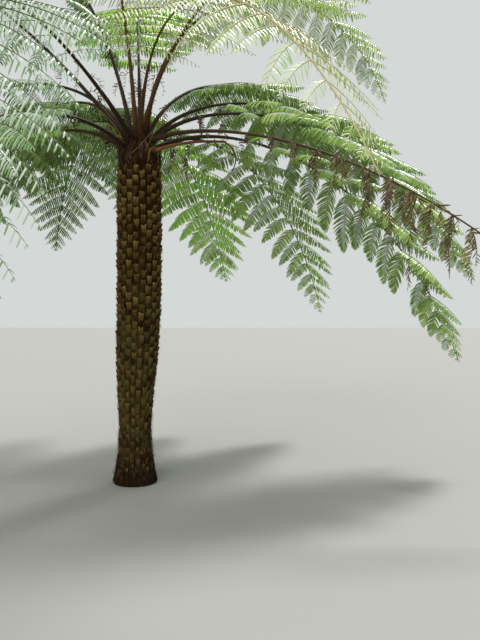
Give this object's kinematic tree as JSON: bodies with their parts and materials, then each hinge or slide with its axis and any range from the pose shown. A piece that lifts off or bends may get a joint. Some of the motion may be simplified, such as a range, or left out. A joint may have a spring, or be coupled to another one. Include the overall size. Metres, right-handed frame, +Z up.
{
  "type": "tree fern",
  "caption": "Tree fern with a slim fibrous trunk covered in old stalk stubs and a wide crown of arching, finely divided fronds.",
  "frame": {"origin": "middle of the flat cut under the trunk, at ground level", "axes": "+Z up the trunk; +X to the right and +Y away from the viewer, as the plant is pictured"},
  "size_m": [3.6961, 3.7563, 3.0206],
  "materials": {
    "fibrous_trunk": "rough, fibrous, dark brown",
    "dead_stalk": "dry, reddish brown",
    "green_frond": "soft green leaf with a pale sheen",
    "withered_frond": "dry, brown leaf"
  },
  "bodies": {
    "root": {"trunk": "fibrous_trunk", "broken_stalk": "dead_stalk", "broken_stalk_end": "dead_stalk", "frond_low_right": "green_frond", "frond_low_right_end": "green_frond", "frond_low_back_right": "green_frond", "frond_low_back_right_end": "green_frond", "frond_low_back": "green_frond", "frond_low_back_end": "green_frond", "frond_low_back_left": "green_frond", "frond_low_back_left_end": "green_frond", "frond_low_left_back": "green_frond", "frond_low_left_back_end": "green_frond", "frond_low_left": "green_frond", "frond_low_left_end": "green_frond", "frond_mid_withered": "withered_frond", "frond_mid_withered_end": "withered_frond", "frond_mid_right": "green_frond", "frond_mid_right_end": "green_frond", "frond_mid_right_back": "green_frond", "frond_mid_right_back_end": "green_frond", "frond_mid_back_right": "green_frond", "frond_mid_back_right_end": "green_frond", "frond_mid_back": "green_frond", "frond_mid_back_end": "green_frond", "frond_mid_back_left": "green_frond", "frond_mid_back_left_end": "green_frond", "frond_mid_left": "green_frond", "frond_mid_left_end": "green_frond", "frond_mid_left_front": "green_frond", "frond_mid_left_front_end": "green_frond", "frond_mid_front_left": "green_frond", "frond_mid_front_left_end": "green_frond", "frond_mid_front_right": "green_frond", "frond_mid_front_right_end": "green_frond", "frond_top_front": "green_frond", "frond_top_front_end": "green_frond", "frond_top_right_front": "green_frond", "frond_top_right_front_end": "green_frond", "frond_top_right": "green_frond", "frond_top_right_end": "green_frond", "frond_top_back": "green_frond", "frond_top_back_end": "green_frond", "frond_top_left": "green_frond", "frond_top_left_end": "green_frond"}
  },
  "joints": []
}
